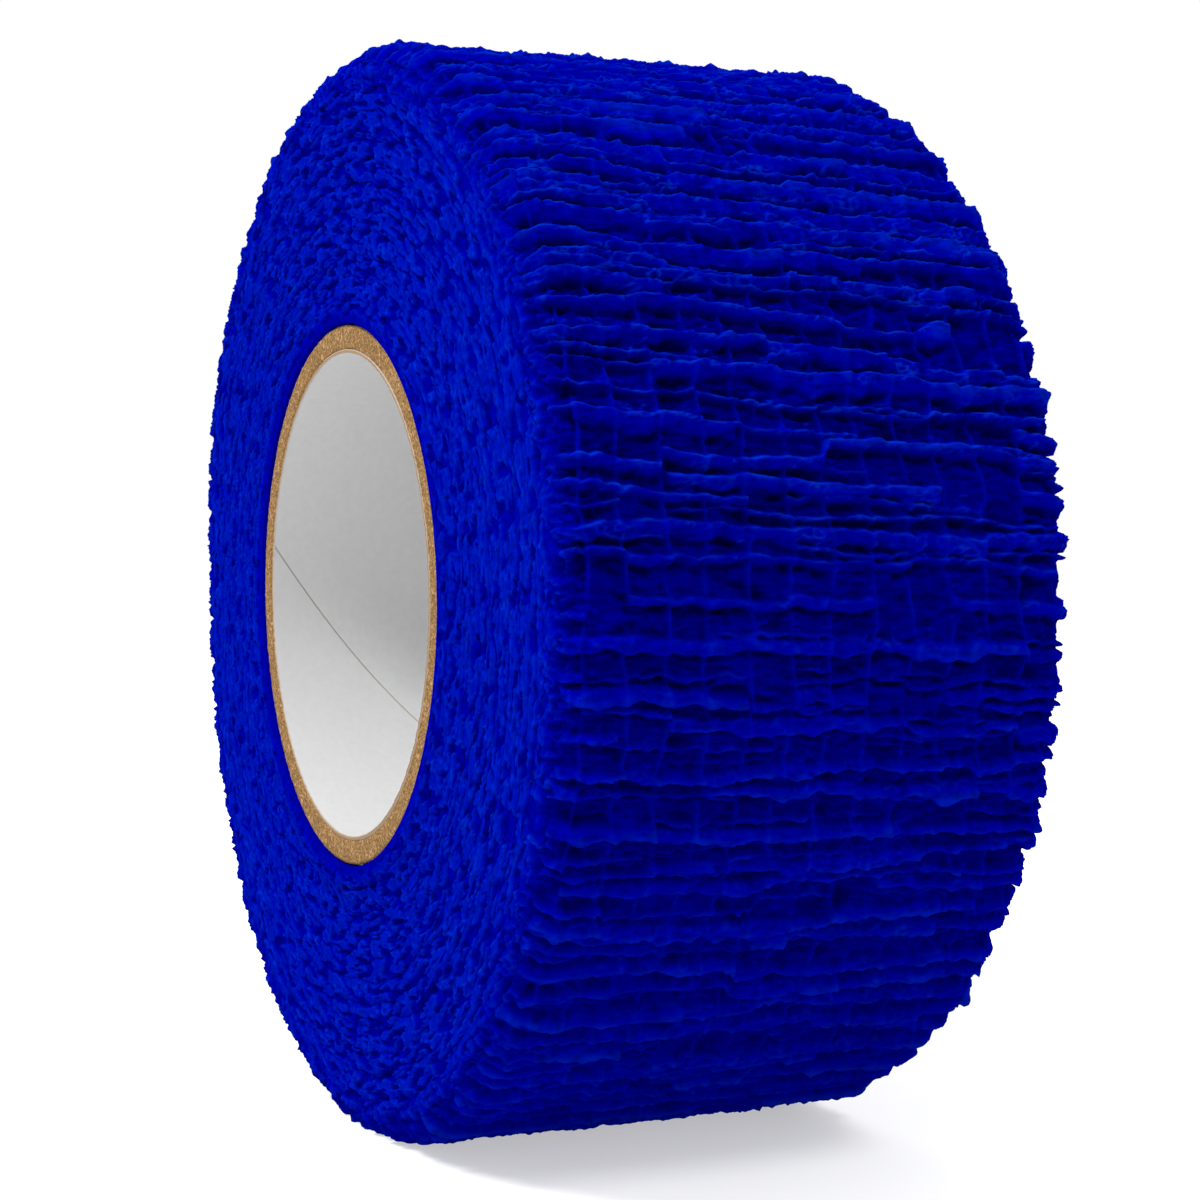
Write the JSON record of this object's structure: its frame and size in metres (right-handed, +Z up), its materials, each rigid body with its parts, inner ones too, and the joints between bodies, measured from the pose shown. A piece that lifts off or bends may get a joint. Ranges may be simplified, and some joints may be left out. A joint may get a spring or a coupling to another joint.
{
  "type": "hand wrap roll",
  "caption": "Roll of self-gripping crinkled elastic hand wrap wound on a paper core, its free end laid down on the roll and able to be peeled back.",
  "frame": {"origin": "centre of the core's bore, half way along its length", "axes": "+Y along the roll's axis, away from the front end face; +Z up, away from the flat that the roll stands on; the free end lies on the -X side"},
  "size_m": [0.0863, 0.0386, 0.0852],
  "materials": {
    "wrap_fabric": "matte",
    "elastic_thread": "matte",
    "kraft_board": "matte",
    "liner_paper": "matte",
    "glue": "matte"
  },
  "bodies": {
    "roll": {"core_liner": "liner_paper", "core_ply_inner": "kraft_board", "core_ply_middle": "kraft_board", "core_ply_outer": "kraft_board", "start_glue": "glue", "strip_inner_web": "wrap_fabric", "strip_outer_web": "wrap_fabric", "elastic_thread_01": "elastic_thread", "elastic_thread_02": "elastic_thread", "elastic_thread_03": "elastic_thread", "elastic_thread_04": "elastic_thread", "elastic_thread_05": "elastic_thread", "elastic_thread_06": "elastic_thread", "elastic_thread_07": "elastic_thread", "elastic_thread_08": "elastic_thread", "elastic_thread_09": "elastic_thread", "elastic_thread_10": "elastic_thread", "elastic_thread_11": "elastic_thread", "elastic_thread_12": "elastic_thread", "elastic_thread_13": "elastic_thread"},
    "tail_root": {"tail_root_inner_web": "wrap_fabric", "tail_root_outer_web": "wrap_fabric", "tail_root_threads": "elastic_thread"},
    "tail_middle": {"tail_middle_inner_web": "wrap_fabric", "tail_middle_outer_web": "wrap_fabric", "tail_middle_threads": "elastic_thread"},
    "tail_tip": {"tail_tip_inner_web": "wrap_fabric", "tail_tip_outer_web": "wrap_fabric", "tail_tip_threads": "elastic_thread"}
  },
  "joints": [
    {"name": "tail_peel", "type": "hinge", "parent": "roll", "child": "tail_root", "pos_m": [-0.03089, 0, 0.02999], "axis": [0, 1, 0], "range_deg": [0, 110]},
    {"name": "tail_middle_bend", "type": "hinge", "parent": "tail_root", "child": "tail_middle", "pos_m": [-0.0371, 0, 0.02218], "axis": [0, 1, 0], "range_deg": [0, 35]},
    {"name": "tail_tip_bend", "type": "hinge", "parent": "tail_middle", "child": "tail_tip", "pos_m": [-0.04137, 0, 0.01316], "axis": [0, 1, 0], "range_deg": [0, 35]}
  ]
}
